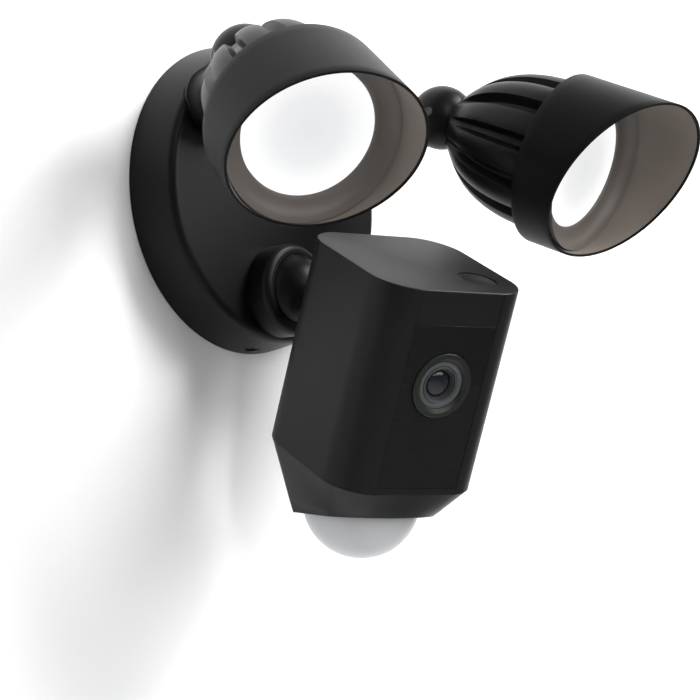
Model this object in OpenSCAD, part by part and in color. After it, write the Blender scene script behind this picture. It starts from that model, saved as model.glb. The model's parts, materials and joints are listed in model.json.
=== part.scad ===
// Wall floodlight camera: a round canopy that carries two swivelling lamps and a ball-jointed camera.
// Origin: centre of the canopy's back rim, on the wall. +X right seen from the front, +Y into the
// wall, +Z up.

/* [Canopy] */
// Radius of the canopy at the wall
canopy_r = 69; // [66:0.5:90]
// Radius of the canopy's flat front, where its side wall ends
canopy_front_r = 65.8; // [62:0.1:88]
// How far the canopy's front stands off the wall
canopy_depth = 22.8; // [20:0.2:32]
// Wall thickness of the canopy
canopy_wall = 2.6; // [2:0.1:4]
// Radius that rounds the canopy's front edge
canopy_edge_r = 4; // [2:0.5:6]

/* [Wall plate] */
// Radius of the steel plate behind the canopy
plate_r = 59; // [54:0.5:62]
// Thickness of the steel plate
plate_t = 2; // [1.5:0.1:3]
// Distance between the two screws that go into the wall box
box_screw_pitch = 88.9; // [80:0.1:95]
// Radius of the holes for those screws
box_hole_r = 2.4; // [2:0.1:3]
// Radius of the wire hole in the plate's middle
wire_hole_r = 11; // [8:0.5:14]

/* [Arms] */
// Sideways distance from the middle of the canopy to an arm's root
arm_root_x = 41; // [36:0.5:44]
// Height of an arm's root above the middle of the canopy
arm_root_z = 31.5; // [28:0.5:34]
// Angle by which an arm leans outwards
arm_out = 30.4; // [20:0.2:40]
// Angle by which an arm leans upwards
arm_up = 10.1; // [0:0.1:20]
// Distance from an arm's root on the canopy's front to the middle of its knuckle
arm_len = 48; // [44:0.5:64]
// Radius of an arm's flange and of the boss that it turns on
arm_flange_r = 15; // [14:0.5:16]
// Radius of the arm between its flange and its knuckle
arm_r = 11.5; // [9:0.5:12]
// Radius of the spigot that turns in the canopy
spigot_r = 6.5; // [5:0.1:7.5]
// Radius of the round knuckle at the arm's end
knuckle_r = 14.5; // [13.5:0.1:15]
// Wall thickness of the hollow knuckle
knuckle_wall = 2.8; // [2.4:0.1:3.2]

/* [Lamps] */
// Angle by which the left lamp is turned about the vertical
left_turn = -23.4; // [-40:0.1:0]
// Angle by which the left lamp is tilted down
left_tilt = 35.4; // [10:0.1:45]
// Angle by which the left lamp's hood is turned about the lamp's own axis
left_spin = 9.1; // [-40:0.1:40]
// Angle by which the right lamp is turned about the vertical
right_turn = 12.1; // [0:0.1:40]
// Angle by which the right lamp is tilted down
right_tilt = 23.8; // [10:0.1:45]
// Angle by which the right lamp's hood is turned about the lamp's own axis
right_spin = 27.5; // [-40:0.1:40]
// Distance from the knuckle to the back edge of the hood
lamp_len = 62; // [56:0.5:76]
// Radius of the end of the lamp's neck
neck_r = 13; // [12.6:0.1:14]
// Radius of a lamp's ribbed body where its hood starts
girth_r = 34.2; // [33:0.1:36]
// Number of cooling ribs on a lamp
ribs = 12; // [8:1:16]
// Share of each rib's pitch that the rib takes up
rib_share = 0.55; // [0.4:0.01:0.7]
// Depth of the flutes between the ribs
flute_depth = 4.2; // [2:0.1:6]

/* [Hoods] */
// Outer radius of the hood
hood_r = 38.6; // [36:0.1:46]
// Wall thickness of the hood
hood_wall = 2.4; // [2:0.1:3]
// Length of the hood along its longest side
hood_long = 49.8; // [44:0.2:60]
// Length of the hood along its shortest side
hood_short = 18; // [17.5:0.1:24]
// Radius of the lamp's diffuser
lens_r = 27.4; // [24:0.1:29]
// Distance from the hood's back edge to the diffuser's front face
lens_at = 13.1; // [12.5:0.1:14]

/* [Camera mount] */
// Height of the camera's ball joint below the middle of the canopy
ball_drop = 44; // [43:0.2:45]
// Distance from the wall to the middle of the ball
ball_out = 30.2; // [29.6:0.1:40]
// Radius of the ball
ball_r = 16; // [15:0.1:16.2]
// Outer radius of the collar that holds the ball
collar_r = 20.2; // [20:0.1:21]
// Distance from the middle of the ball to the collar's opening
collar_lip = 4.7; // [4.5:0.1:5.5]
// Radius of the stem next to the ball
stem_r = 6.2; // [5.6:0.1:6.4]
// Radius of the stem's foot on the back of the camera
stem_foot_r = 13; // [10:0.5:16]
// Distance from the middle of the ball to the back of the camera
stem_len = 51.2; // [46:0.2:64]
// Angle by which the camera is turned about the vertical
camera_pan = -14.6; // [-30:0.1:20]
// Angle by which the camera is tilted down
camera_tilt = 27.9; // [0:0.1:35]
// Angle by which the camera is rolled about its stem
camera_roll = -3.2; // [-20:0.1:20]

/* [Camera body] */
// Width of the camera body
body_w = 69.2; // [66:0.2:84]
// Depth of the camera body, front to back
body_d = 70; // [66:0.2:84]
// Height of the camera body down to its shoulder
body_h = 86.2; // [84:0.2:104]
// Radius of the camera body's upright corners
body_corner_r = 17; // [12:0.5:17]
// Wall thickness of the camera body
body_wall = 2.4; // [2:0.1:3]
// Height of the stem's axis, measured down from the top of the camera body
stem_at = 42.9; // [38:0.1:50]
// Length of the tapered lower end along the front of the body
taper_front = 10.6; // [9:0.1:14]
// Angle between the camera body's bottom and its top
bottom_slope = 20.8; // [14:0.1:22]
// Radius of the round bottom
bottom_r = 29.3; // [28:0.1:31]

/* [Camera front] */
// Width of the strip, glass and grille on the front
front_w = 39; // [36:0.2:44]
// Height of the plain strip at the top of the front
strip_h = 14.2; // [10:0.1:16]
// Distance from the top of the body down to the middle of the lens
lens_down = 39.4; // [36:0.1:42]
// Distance from the top of the body down to the lower end of the grille
grille_end = 83.6; // [76:0.1:83.8]
// Outer radius of the bezel around the lens
bezel_r = 13.6; // [12:0.1:15]
// Outer radius of the light ring inside the bezel
light_ring_r = 9.9; // [9:0.1:10.5]
// Radius of the setup button on top of the body
button_r = 8; // [5:0.1:9]
// How far the setup button can be pressed
button_travel = 1; // [0.5:0.1:1.5]

/* [Motion sensor] */
// Radius of the motion sensor's dome
dome_r = 24.5; // [22:0.1:25.5]
// Distance from the front of the body back to the middle of the dome
dome_back = 32; // [30:0.1:34]
// How far the middle of the dome lies inside the bottom
dome_sunk = 6; // [4:0.1:8]

/* [Hidden] */
$fn = 64;

left = -1;
right = 1;
fit = 0.05;          // radial clearance of a pin or shaft in its hole
gap = 0.3;           // clearance between pieces that move past each other
skin = 0.1;          // clearance between pieces that are fastened together
over = 1;            // how far a cutting shape runs past what it cuts

arm_seal_t = 0.8;
boss_top = 4.2;      // the canopy's boss ends this far along the arm, from its root
flange_at = boss_top + 2 * 0.2 + arm_seal_t;
flange_t = 3.6;
boss_inside = 9.4;   // and it reaches this far back into the canopy
nut_t = 4.5;
pin_r = 2;
pivot_r = 6;         // round body of the tilt pivot, on its pin
stud_r = 5;          // stud that carries the lamp
seat_r = knuckle_r + 0.4;
neck_at = sqrt(seat_r * seat_r - 10.3 * 10.3);   // where the neck ends on the knuckle
stud_shoulder = 19;
tilt_back = 25;      // tilt that the knuckle's slot allows upwards
tilt_on = 25;        // and downwards
lens_t = 2.4;
board_t = 1.6;
lamp_cavity_r = lens_r + 1.2;
flange_front = 10.5; // the lamp housing reaches this far into the hood

liner_t = 1;
liner_in = ball_r + gap;
cup_cavity_r = liner_in + liner_t + gap;
cup_r = collar_r - 1.5;
cup_back = ball_out - cup_cavity_r - 1.6;
stem_tip_r = 5;
tab_at = 7.4;        // distance of the canopy's screws from the wall
seat_under = 1.6;    // thickness of the canopy under those screws' heads
tab_half_w = 5;
tab_t = 2;
board_at = 8;        // distance of the power board's front from the wall
screw_r = 1.6;
screw_head_r = 3;

bottom_rise = tan(bottom_slope);
panel_t = 2;
cover_lip_h = 7;     // the lower cover's lip stands this far into the body
cover_screw_r = 1.2;
cover_sink = 1.3;    // depth of the recess that a cover screw's head sits in

function arm_dir(side) = [
    side * sin(arm_out) * cos(arm_up),
    -cos(arm_out) * cos(arm_up),
    sin(arm_up)
];
function arm_root(side) = [side * arm_root_x, -canopy_depth, arm_root_z];
function knuckle(side) = arm_root(side) + arm_len * arm_dir(side);
function turn(side) = side == left ? left_turn : right_turn;
function tilt(side) = side == left ? left_tilt : right_tilt;
function spin(side) = side == left ? left_spin : right_spin;
function arc(cx, cy, r, from, to, steps) = [
    for (i = [0:steps])
        let (a = from + (to - from) * i / steps) [cx + r * cos(a), cy + r * sin(a)]
];

// ---- Frames ----------------------------------------------------------------

// Local +Z points out of the wall and local +Y points up.
module wall_frame() {
    rotate([90, 0, 0]) children();
}

// Local +Z runs along an arm, from its root.
module arm_frame(side) {
    translate(arm_root(side))
        rotate([0, 0, side * arm_out])
            rotate([90 - arm_up, 0, 0])
                children();
}

// Local +Z runs along a lamp from its knuckle, before the lamp is spun about it; +X is the tilt axis.
module pivot_frame(side) {
    translate(knuckle(side))
        rotate([0, 0, turn(side)])
            rotate([90 + tilt(side), 0, 0])
                children();
}

// The same, spun: local +Y is the hood's long side.
module lamp_frame(side) {
    pivot_frame(side) rotate([0, 0, -spin(side)]) children();
}

// Local +Z runs from the ball along the stem towards the camera.
module stem_frame() {
    translate([0, -ball_out, -ball_drop])
        rotate([0, 0, camera_pan])
            rotate([90 + camera_tilt, 0, 0])
                children();
}

// Origin at the middle of the top front edge: +X right, +Y back, +Z up.
module camera_frame() {
    translate([0, -ball_out, -ball_drop])
        rotate([0, 0, camera_pan])
            rotate([camera_tilt, 0, 0])
                rotate([0, camera_roll, 0])
                    translate([0, -stem_len - body_d, stem_at])
                        children();
}

// The plane of the camera's slanted bottom: origin under the dome, +Z out of the bottom.
module bottom_frame() {
    camera_frame()
        translate([0, dome_back, -body_h - taper_front - dome_back * bottom_rise])
            rotate([180 - bottom_slope, 0, 0])
                children();
}

// ---- Shared shapes ---------------------------------------------------------

module ring(outer, inner, height) {
    difference() {
        cylinder(r = outer, h = height);
        translate([0, 0, -over]) cylinder(r = inner, h = height + 2 * over);
    }
}

module rounded_plan(w, d, r) {
    translate([-w / 2 + r, 0]) square([w - 2 * r, d]);
    translate([-w / 2, r]) square([w, d - 2 * r]);
    for (x = [-w / 2 + r, w / 2 - r], y = [r, d - r])
        translate([x, y]) circle(r = r);
}

module cap_screw(head_r, head_t, shank_r, length) {
    difference() {
        union() {
            cylinder(r = head_r, h = head_t);
            translate([0, 0, -length]) cylinder(r = shank_r, h = length + head_t / 2);
        }
        translate([0, 0, head_t / 2]) cylinder(r = head_r / 2, h = head_t, $fn = 6);
    }
}

// ---- Canopy and wall plate -------------------------------------------------

module canopy_profile(r_back, r_front, depth, edge) {
    lean = atan((r_back - r_front) / depth);
    centre_r = r_front - edge * (1 - sin(lean)) / cos(lean);
    polygon(concat(
        [[0, 0], [r_back, 0]],
        arc(centre_r, depth - edge, edge, lean, 90, 8),
        [[0, depth]]
    ));
}

module canopy() {
    color([0.07, 0.07, 0.075])
    difference() {
        union() {
            difference() {
                canopy_solid();
                wall_frame() translate([0, 0, -over]) rotate_extrude()
                    canopy_profile(
                        canopy_r - canopy_wall, canopy_front_r - canopy_wall,
                        canopy_depth - canopy_wall + over, canopy_edge_r - 1
                    );
            }
            for (side = [left, right])
                arm_boss(side);
            for (up = [0, 180])
                rotate([0, up, 0]) screw_boss();
        }
        for (side = [left, right])
            arm_frame(side) {
                translate([0, 0, -boss_inside - over])
                    cylinder(r = spigot_r + fit, h = boss_inside + boss_top + 2 * over);
                translate([0, 0, boss_top])
                    cylinder(r = arm_flange_r + gap, h = arm_flange_r);
            }
        translate([0, 0, -ball_drop]) wall_frame()
            cylinder(r = cup_r + skin, h = canopy_depth + over);
        for (up = [0, 180])
            rotate([0, up, 0]) screw_pocket();
    }
}

// Outside of the canopy as a solid.
module canopy_solid() {
    wall_frame() rotate_extrude()
        canopy_profile(canopy_r, canopy_front_r, canopy_depth, canopy_edge_r);
}

// Round seat that an arm turns on, with a wider root inside the canopy.
module arm_boss(side) {
    arm_frame(side) translate([0, 0, -boss_inside])
        cylinder(r = arm_flange_r, h = boss_inside + boss_top);
    intersection() {
        arm_frame(side) translate([0, 0, -boss_inside])
            cylinder(r = arm_flange_r + 1.5, h = boss_inside + boss_top);
        canopy_solid();
    }
}

// The canopy's screws lie this far from its middle, under their heads.
function screw_seat() = canopy_r - (canopy_r - canopy_front_r) * tab_at / canopy_depth - canopy_wall;

module screw_boss() {
    intersection() {
        translate([0, -tab_at, screw_seat() - seat_under])
            cylinder(r = screw_head_r + 1.6, h = seat_under + 2);
        canopy_solid();
    }
}

module screw_pocket() {
    translate([0, -tab_at, screw_seat()]) cylinder(r = screw_head_r + 0.2, h = 2 * over + 3);
    translate([0, -tab_at, screw_seat() - 4]) cylinder(r = screw_r + 0.15, h = 6);
}

module mounting_plate() {
    tab_z = screw_seat() - seat_under - skin - tab_t;
    tab_root = 6;
    color([0.62, 0.63, 0.64])
    difference() {
        union() {
            wall_frame() cylinder(r = plate_r, h = plate_t);
            for (up = [0, 180])
                rotate([0, up, 0]) {
                    translate([-tab_half_w, -plate_t, plate_r - tab_root])
                        cube([2 * tab_half_w, plate_t, tab_z + tab_t - plate_r + tab_root]);
                    translate([-tab_half_w, -tab_at - screw_r - 1.4, tab_z])
                        cube([2 * tab_half_w, tab_at + screw_r + 1.4, tab_t]);
                }
        }
        wall_frame() translate([0, 0, -over]) cylinder(r = wire_hole_r, h = plate_t + 2 * over);
        for (x = [-1, 1])
            translate([x * box_screw_pitch / 2, 0, 0]) wall_frame() translate([0, 0, -over])
                cylinder(r = box_hole_r, h = plate_t + 2 * over);
        for (up = [0, 180])
            rotate([0, up, 0]) translate([0, -tab_at, tab_z - over])
                cylinder(r = screw_r + fit, h = tab_t + 2 * over);
    }
}

// Foam ring behind the canopy's rim, in two halves between the plate's tabs.
module wall_gasket() {
    thick = 2;
    notch = 2 * tab_half_w + 2;
    slope = (canopy_r - canopy_front_r) / canopy_depth;
    outer = canopy_r - slope * thick - canopy_wall * sqrt(1 + slope * slope) - 0.5;
    color([0.2, 0.2, 0.2])
    wall_frame() difference() {
        ring(outer, plate_r + 1.5, thick);
        for (turn = [0, 180])
            rotate([0, 0, turn]) translate([-notch / 2, plate_r - 8, -over])
                cube([notch, canopy_r, thick + 2 * over]);
    }
}

module canopy_screws() {
    color([0.12, 0.12, 0.12])
    for (up = [0, 180])
        rotate([0, up, 0]) translate([0, -tab_at, screw_seat() + fit])
            cap_screw(screw_head_r, 2, screw_r, 7);
}

module power_board() {
    w = 44;
    h = 37;
    bottom = -15;
    inset = 4;
    color([0.1, 0.35, 0.18])
    difference() {
        union() {
            translate([-w / 2, -board_at, bottom]) cube([w, board_t, h]);
            board_corners(w, h, bottom, inset)
                translate([0, 0, plate_t]) cylinder(r = 2.5, h = board_at - board_t - plate_t);
        }
        board_corners(w, h, bottom, inset) cylinder(r = 1.2, h = board_at + over);
    }
}

module board_corners(w, h, bottom, inset) {
    for (x = [inset - w / 2, w / 2 - inset], z = [bottom + inset, bottom + h - inset])
        translate([x, 0, z]) wall_frame() children();
}

// Transformer, two capacitors and a relay on the power board.
module power_parts() {
    on_board = board_at + skin;
    color([0.25, 0.25, 0.27]) {
        translate([-14, -on_board - 9, 1]) cube([16, 9, 14]);
        translate([4, -on_board - 5, -12]) cube([10, 5, 6]);
        for (capacitor = [[12, 6, 5, 10], [-8, -8, 4, 9]])
            translate([capacitor[0], 0, capacitor[1]]) wall_frame() translate([0, 0, on_board])
                cylinder(r = capacitor[2], h = capacitor[3]);
    }
}

module terminal_block() {
    w = 20;
    pitch = 7;
    color([0.85, 0.85, 0.8])
    translate([-34, 0, -32]) difference() {
        translate([-w / 2, -plate_t - skin - 10, -6]) cube([w, 10, 12]);
        for (i = [-1:1])
            translate([pitch * i, 0, 0]) wall_frame() cylinder(r = 2, h = w);
    }
}

// ---- Ball joint of the camera ----------------------------------------------

module at_ball() {
    translate([0, -ball_out, -ball_drop]) children();
}

module ball_cup() {
    color([0.09, 0.09, 0.095])
    difference() {
        union() {
            translate([0, 0, -ball_drop]) wall_frame() translate([0, 0, cup_back])
                cylinder(r = cup_r, h = ball_out - cup_back);
            cup_flange();
        }
        at_ball() sphere(r = cup_cavity_r);
        translate([0, 0, -ball_drop]) wall_frame() cylinder(r = 5, h = ball_out);
    }
}

// Flange behind the canopy's front wall, which the cup is fastened by.
module cup_flange() {
    flange_front_at = canopy_depth - canopy_wall - skin;
    intersection() {
        translate([0, 0, -ball_drop]) wall_frame() translate([0, 0, flange_front_at - 2.4])
            cylinder(r = cup_r + 5, h = 2.4);
        wall_frame() cylinder(r = canopy_front_r - canopy_wall - canopy_edge_r, h = canopy_depth);
    }
}

module ball_collar() {
    lip_r = sqrt(pow(ball_r + gap, 2) - pow(collar_lip, 2)) + 0.05;
    front = ball_out + collar_lip;
    color([0.08, 0.08, 0.085])
    difference() {
        translate([0, 0, -ball_drop]) wall_frame() rotate_extrude() polygon(concat(
            [[cup_r + skin, canopy_depth + skin], [collar_r, canopy_depth + skin]],
            arc(collar_r - 3.6, front - 3.6, 3.6, 0, 80, 6),
            [[lip_r, front], [lip_r - 2, ball_out + skin], [cup_r + skin, ball_out + skin]]
        ));
        at_ball() sphere(r = ball_r + gap);
    }
}

// Friction pad behind the ball: a piece of a hollow sphere that turns about the vertical with it.
module ball_seat() {
    half_w = 10;
    half_h = 8;
    color([0.9, 0.9, 0.88])
    at_ball() rotate([0, 0, camera_pan]) difference() {
        intersection() {
            sphere(r = liner_in + liner_t);
            translate([-half_w, 0, -half_h]) cube([2 * half_w, 2 * ball_r, 2 * half_h]);
        }
        sphere(r = liner_in);
        rotate([-90, 0, 0]) cylinder(r = 5, h = 2 * ball_r);
    }
}

module camera_stem() {
    foot_t = 4;
    end = stem_len - gap;
    reach = 8 + body_wall + gap;
    color([0.08, 0.08, 0.085])
    difference() {
        union() {
            at_ball() sphere(r = ball_r);
            stem_frame() rotate_extrude() polygon(concat(
                [[0, 0], [stem_r, 0]],
                [for (i = [0:8])
                    let (s = i / 8)
                    [stem_r + (stem_foot_r - stem_r) * pow(s, 3),
                     ball_r + 6 + (end - foot_t - ball_r - 6) * s]],
                [[stem_foot_r, end], [stem_tip_r, end], [stem_tip_r, end + reach], [0, end + reach]]
            ));
        }
        stem_frame() translate([0, 0, -ball_r - over]) cylinder(r = 2.6, h = stem_len + ball_r + 20);
    }
}

module stem_nut() {
    color([0.78, 0.72, 0.5])
    stem_frame() translate([0, 0, stem_len + body_wall + gap])
        difference() {
            cylinder(r = 8.6, h = 5, $fn = 6);
            translate([0, 0, -over]) cylinder(r = stem_tip_r, h = 5 + 2 * over);
        }
}

// ---- Arms ------------------------------------------------------------------

module arm(side) {
    ball_start = arm_len - sqrt(knuckle_r * knuckle_r - arm_r * arm_r);
    inside = boss_inside + gap + nut_t + 2;
    color([0.08, 0.08, 0.085])
    difference() {
        union() {
            arm_frame(side) rotate_extrude() polygon(concat(
                [[0, -inside], [spigot_r, -inside], [spigot_r, flange_at]],
                [[arm_flange_r, flange_at], [arm_flange_r, flange_at + flange_t]],
                arc(arm_r + 6, flange_at + flange_t + 6, 6, 245, 180, 6),
                [[arm_r, ball_start + 2], [0, ball_start + 2]]
            ));
            translate(knuckle(side)) sphere(r = knuckle_r);
        }
        translate(knuckle(side)) sphere(r = knuckle_r - knuckle_wall);
        arm_frame(side) translate([0, 0, -inside - over])
            cylinder(r = 3, h = inside + arm_len);
        pivot_frame(side) {
            rotate([0, 90, 0]) cylinder(r = pin_r + skin / 5, h = 4 * knuckle_r, center = true);
            stud_slot();
        }
    }
}

// Slot in the knuckle, along the way the stud swings.
module stud_slot() {
    half_w = stud_r + gap;
    edge = asin(half_w / (knuckle_r - knuckle_wall));
    far = 2 * knuckle_r;
    translate([-half_w, 0, 0]) rotate([90, 0, 90]) linear_extrude(height = 2 * half_w)
        polygon([
            [0, 0],
            far * [sin(-tilt_on - edge), cos(-tilt_on - edge)],
            far * [0, 1.2],
            far * [sin(tilt_back + edge), cos(tilt_back + edge)]
        ]);
}

module arm_seal(side) {
    color([0.15, 0.15, 0.15])
    arm_frame(side) translate([0, 0, boss_top + 0.2])
        ring(arm_flange_r - 1, spigot_r + gap, arm_seal_t);
}

module arm_nut(side) {
    color([0.7, 0.7, 0.7])
    arm_frame(side) translate([0, 0, -boss_inside - gap - nut_t])
        difference() {
            cylinder(r = 9.6, h = nut_t, $fn = 6);
            translate([0, 0, -over]) cylinder(r = spigot_r, h = nut_t + 2 * over);
        }
}

module tilt_pin(side) {
    pin_len = 2 * sqrt(knuckle_r * knuckle_r - pin_r * pin_r) - 0.4;
    color([0.7, 0.7, 0.7])
    pivot_frame(side) rotate([0, 90, 0]) cylinder(r = pin_r, h = pin_len, center = true);
}

module tilt_pivot(side) {
    half_len = 8.6;
    color([0.55, 0.55, 0.56])
    difference() {
        union() {
            pivot_frame(side) rotate([0, 90, 0]) cylinder(r = pivot_r, h = 2 * half_len, center = true);
            pivot_frame(side) cylinder(r = stud_r, h = stud_shoulder + gap + 6.5);
        }
        pivot_frame(side) rotate([0, 90, 0])
            cylinder(r = pin_r + fit, h = 4 * knuckle_r, center = true);
    }
}

module pivot_nut(side) {
    color([0.7, 0.7, 0.7])
    pivot_frame(side) translate([0, 0, stud_shoulder + gap])
        difference() {
            cylinder(r = 8, h = 5, $fn = 6);
            translate([0, 0, -over]) cylinder(r = stud_r, h = 5 + 2 * over);
        }
}

// ---- Lamps -----------------------------------------------------------------

// Half outline of a lamp's round body, from its neck to the hood, drawn with a smaller or larger girth.
function lamp_side(less) = [
    for (i = [0:14])
        let (s = pow(i / 14, 1.6))
        [neck_r + (girth_r - neck_r) * pow(sin(90 * pow(s, 0.356)), 3) - less * min(1, 4 * s),
         neck_at + (lamp_len - neck_at) * s]
];

module lamp_body(less) {
    rotate_extrude() polygon(concat([[0, neck_at]], lamp_side(less), [[0, lamp_len]]));
}

module rib_wedges() {
    half = 180 / ribs * rib_share;
    far = 2 * hood_r;
    for (i = [0:ribs - 1])
        rotate([0, 0, 360 / ribs * (i + 0.5)])
            linear_extrude(height = lamp_len)
                polygon([
                    [0, 0],
                    far * [cos(-half), sin(-half)],
                    far * [cos(half), sin(half)]
                ]);
}

module lamp_housing(side) {
    bore_r = 8.8;
    color([0.07, 0.07, 0.075])
    lamp_frame(side) difference() {
        union() {
            lamp_body(flute_depth);
            intersection() {
                lamp_body(0);
                rib_wedges();
            }
            translate([0, 0, lamp_len - over])
                cylinder(r = hood_r - hood_wall - skin, h = flange_front + over);
        }
        sphere(r = seat_r);
        cylinder(r = stud_r + fit, h = lamp_len);
        translate([0, 0, stud_shoulder]) cylinder(r = bore_r, h = lamp_len);
        translate([0, 0, lamp_len - 3]) cylinder(r = lamp_cavity_r, h = flange_front + 4);
    }
}

module lamp_hood(side) {
    lean = atan((hood_long - hood_short) / (2 * hood_r));
    middle = lamp_len + (hood_long + hood_short) / 2;
    color([0.08, 0.08, 0.085])
    lamp_frame(side) difference() {
        translate([0, 0, lamp_len + skin]) cylinder(r = hood_r, h = hood_long + over);
        translate([0, 0, lamp_len - over])
            cylinder(r = hood_r - hood_wall, h = hood_long + 4 * over);
        translate([0, 0, middle]) rotate([lean, 0, 0])
            translate([-2 * hood_r, -2 * hood_r, 0]) cube([4 * hood_r, 4 * hood_r, 2 * hood_long]);
    }
}

module lamp_reflector(side) {
    inner = hood_r - hood_wall - skin;
    color([0.35, 0.33, 0.31])
    lamp_frame(side) translate([0, 0, lamp_len]) rotate_extrude()
        polygon([
            [lens_r + skin, flange_front + skin],
            [inner, flange_front + skin],
            [inner, lens_at + 3.2],
            [inner - 0.8, lens_at + 3.2],
            [lens_r - 0.4, lens_at + skin],
            [lens_r + skin, lens_at + skin]
        ]);
}

module lamp_lens(side) {
    color([0.97, 0.97, 0.95])
    lamp_frame(side) translate([0, 0, lamp_len + lens_at - lens_t])
        cylinder(r = lens_r, h = lens_t);
}

module lens_gasket(side) {
    bottom = lamp_len + lens_at - lens_t - skin;
    color([0.25, 0.25, 0.25])
    lamp_frame(side) translate([0, 0, bottom - 1.8]) ring(lens_r, lens_r - 2.4, 1.8);
}

module led_board(side) {
    color([0.9, 0.9, 0.9])
    lamp_frame(side) translate([0, 0, lamp_len - 3 + skin])
        difference() {
            cylinder(r = lens_r - 3.4, h = board_t);
            for (a = [0, 120, 240])
                rotate([0, 0, a]) translate([lens_r - 7, 0, -over])
                    cylinder(r = 1.5, h = board_t + 2 * over);
        }
}

module leds(side) {
    color([0.98, 0.93, 0.6])
    lamp_frame(side) translate([0, 0, lamp_len - 3 + 2 * skin + board_t])
        for (i = [0:7])
            rotate([0, 0, 45 * i + 22.5]) translate([12, -2.5, 0]) cube([5, 5, 1]);
}

// ---- Camera ----------------------------------------------------------------

module body_solid(less) {
    plan_slab(less, -body_h, body_h);
}

module camera_housing() {
    color([0.09, 0.09, 0.095])
    camera_frame() difference() {
        body_solid(0);
        translate([0, 0, -body_wall]) body_solid(body_wall);
        translate([-front_w / 2, -over, -grille_end])
            cube([front_w, body_wall + 2 * over, grille_end - body_wall]);
        translate([-front_w / 2, -over, -body_wall - over])
            cube([front_w, panel_t + 0.3 + over, body_wall + 2 * over]);
        translate([body_w / 2 - body_corner_r, body_corner_r, -body_wall - over])
            cylinder(r = button_r + gap, h = body_wall + 2 * over);
        translate([0, body_d + over, -stem_at]) rotate([90, 0, 0])
            cylinder(r = stem_tip_r + fit, h = body_wall + 2 * over);
        cover_screw_places() {
            rotate([90, 0, 0]) cylinder(r = cover_screw_r + fit, h = 2 * body_wall);
            translate([0, over, 0]) rotate([90, 0, 0]) cylinder(r = 2.6, h = cover_sink + over);
        }
    }
}

// The tapered end between the shoulder and the slanted round bottom.
module taper_solid(less) {
    hull() {
        translate([0, less, -body_h - 0.02]) linear_extrude(height = 0.01)
            rounded_plan(body_w - 2 * less, body_d - 2 * less, body_corner_r - less, $fn = 48);
        translate([0, dome_back - 1.7, -body_h - taper_front - (dome_back - 1.7) * bottom_rise])
            rotate([180 - bottom_slope, 0, 0])
                translate([0, 0, -0.01]) cylinder(r = bottom_r - less, h = 0.01, $fn = 48);
    }
}

module lower_cover() {
    color([0.07, 0.07, 0.075])
    difference() {
        union() {
            camera_frame() difference() {
                taper_solid(0);
                translate([0, 0, 2]) taper_solid(body_wall);
            }
            camera_frame() cover_lip();
        }
        bottom_frame() translate([0, 0, -10]) cylinder(r = dome_hole_r(), h = 20);
        camera_frame() cover_screw_places() rotate([90, 0, 0])
            cylinder(r = cover_screw_r + fit, h = 2 * cover_lip_h);
    }
}

// Lip inside the body's lower edge, with a block behind each cover screw.
module cover_lip() {
    lip = body_wall + skin;
    lip_t = 1.6;
    intersection() {
        plan_slab(lip, -body_h - 1, cover_lip_h + 1);
        union() {
            cover_screw_places() translate([-4, -9, -3]) cube([8, 8, 6]);
            difference() {
                plan_slab(0, -body_h - 2, cover_lip_h + 4);
                plan_slab(lip + lip_t, -body_h - 3, cover_lip_h + 6);
            }
        }
    }
}

// Flat slab with the body's plan, smaller by `less` all round.
module plan_slab(less, z, height) {
    translate([0, less, z]) linear_extrude(height = height)
        rounded_plan(body_w - 2 * less, body_d - 2 * less, body_corner_r - less);
}

// Where the two screws in the body's back hold the lower cover.
module cover_screw_places() {
    for (x = [-14, 14])
        translate([x, body_d, -body_h + cover_lip_h / 2]) children();
}

function dome_cut_r(r) = sqrt(r * r - dome_sunk * dome_sunk);
function dome_hole_r() = dome_cut_r(dome_r) + skin;

module motion_dome() {
    color([0.82, 0.83, 0.84])
    bottom_frame() intersection() {
        difference() {
            translate([0, 0, -dome_sunk]) sphere(r = dome_r);
            translate([0, 0, -dome_sunk]) sphere(r = dome_r - 1.6);
        }
        translate([0, 0, -2.4]) cylinder(r = dome_cut_r(dome_r), h = 2 * dome_r);
    }
}

module motion_board() {
    color([0.1, 0.35, 0.18])
    bottom_frame() translate([0, 0, -7.5]) difference() {
        cylinder(r = 20, h = board_t);
        translate([0, 0, -over]) cylinder(r = 2, h = board_t + 2 * over);
    }
}

module motion_sensors() {
    color([0.75, 0.75, 0.72])
    bottom_frame() translate([0, 0, -7.5 + board_t + skin])
        for (a = [90, 210, 330])
            rotate([0, 0, a]) translate([9.5, 0, 0]) {
                cylinder(r = 4.6, h = 4);
                cylinder(r = 2.6, h = 4.4);
            }
}

module cover_screws() {
    color([0.6, 0.6, 0.6])
    camera_frame() cover_screw_places()
        translate([0, -cover_sink + fit, 0]) rotate([-90, 0, 0])
            cap_screw(2.4, 1.2, cover_screw_r, 6);
}

module front_piece(top, bottom) {
    intersection() {
        translate([-front_w / 2 + skin, -over, -bottom + skin / 2])
            cube([front_w - 2 * skin, panel_t + over, bottom - top - skin]);
        translate([0, skin, 0]) body_solid(0);
    }
}

module at_lens() {
    translate([0, 0, -lens_down]) rotate([90, 0, 0]) children();
}

module front_strip() {
    color([0.1, 0.1, 0.105])
    camera_frame() front_piece(0, strip_h);
}

module front_glass() {
    color([0.02, 0.02, 0.025])
    camera_frame() difference() {
        front_piece(strip_h, lens_down);
        at_lens() cylinder(r = bezel_r + skin, h = 20, center = true);
        translate([-16.1, 0, -31]) rotate([90, 0, 0]) cylinder(r = 1.1, h = 20, center = true);
    }
}

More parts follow.
